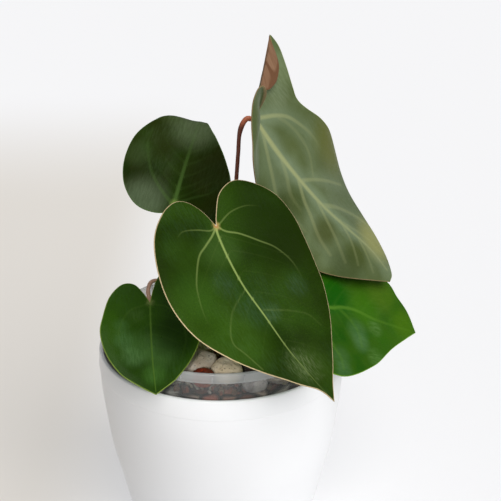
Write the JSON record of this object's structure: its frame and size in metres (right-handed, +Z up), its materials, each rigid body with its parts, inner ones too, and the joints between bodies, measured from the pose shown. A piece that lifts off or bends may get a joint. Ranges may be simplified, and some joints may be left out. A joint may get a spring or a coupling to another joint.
{
  "type": "potted_plant",
  "caption": "Potted anthurium hybrid: heart-shaped leaves on arching petioles in a clear grow pot of coarse stones, set inside a tapered white outer pot",
  "frame": {"origin": "centre of the outer pot's flat base", "axes": "+Z up along the pot; -Y towards the viewer of the picture; +X to the right of the picture"},
  "size_m": [0.1832, 0.1665, 0.2821],
  "materials": {
    "white_plastic": "satin",
    "clear_plastic": "clear gloss",
    "leaf_dark": "leathery satin",
    "leaf_new": "soft satin sheen",
    "leaf_bright": "satin",
    "petiole_red": "satin",
    "petiole_tan": "satin",
    "stem_bark": "rough",
    "dry_sheath": "dry and papery",
    "root": "matte",
    "substrate": "coarse and matte",
    "pumice": "rough and porous",
    "cream_pumice": "rough and porous",
    "red_lava": "rough and porous",
    "black_lava": "rough and porous",
    "grey_stone": "rough"
  },
  "bodies": {
    "root": {"black_lava_01": "black_lava", "black_lava_02": "black_lava", "black_lava_03": "black_lava", "clear_grow_pot": "clear_plastic", "cream_pumice_01": "cream_pumice", "cream_pumice_02": "cream_pumice", "cream_pumice_03": "cream_pumice", "cream_pumice_04": "cream_pumice", "cream_pumice_05": "cream_pumice", "cream_pumice_06": "cream_pumice", "cream_pumice_07": "cream_pumice", "cream_pumice_08": "cream_pumice", "cream_pumice_09": "cream_pumice", "dry_sheath_back": "dry_sheath", "dry_sheath_front": "dry_sheath", "dry_sheath_right": "dry_sheath", "grey_stone_01": "grey_stone", "grey_stone_02": "grey_stone", "grey_stone_03": "grey_stone", "grey_stone_04": "grey_stone", "grey_stone_05": "grey_stone", "grey_stone_06": "grey_stone", "grey_stone_07": "grey_stone", "grey_stone_08": "grey_stone", "leaf_back_left": "leaf_dark", "leaf_front": "leaf_dark", "leaf_lower_left": "leaf_dark", "leaf_lower_right": "leaf_bright", "leaf_upper_right": "leaf_new", "outer_pot": "white_plastic", "packed_substrate": "substrate", "petiole_back_left": "petiole_tan", "petiole_front": "petiole_tan", "petiole_lower_left": "petiole_tan", "petiole_lower_right": "petiole_tan", "petiole_upper_right": "petiole_red", "pumice_01": "pumice", "pumice_02": "pumice", "pumice_03": "pumice", "pumice_04": "pumice", "pumice_05": "pumice", "pumice_06": "pumice", "pumice_07": "pumice", "red_lava_01": "red_lava", "red_lava_02": "red_lava", "red_lava_03": "red_lava", "red_lava_04": "red_lava", "red_lava_05": "red_lava", "red_lava_06": "red_lava", "red_lava_07": "red_lava", "red_lava_08": "red_lava", "red_lava_09": "red_lava", "root_back": "root", "root_down": "root", "root_front": "root", "root_left": "root", "root_right": "root", "stem": "stem_bark"}
  },
  "joints": []
}
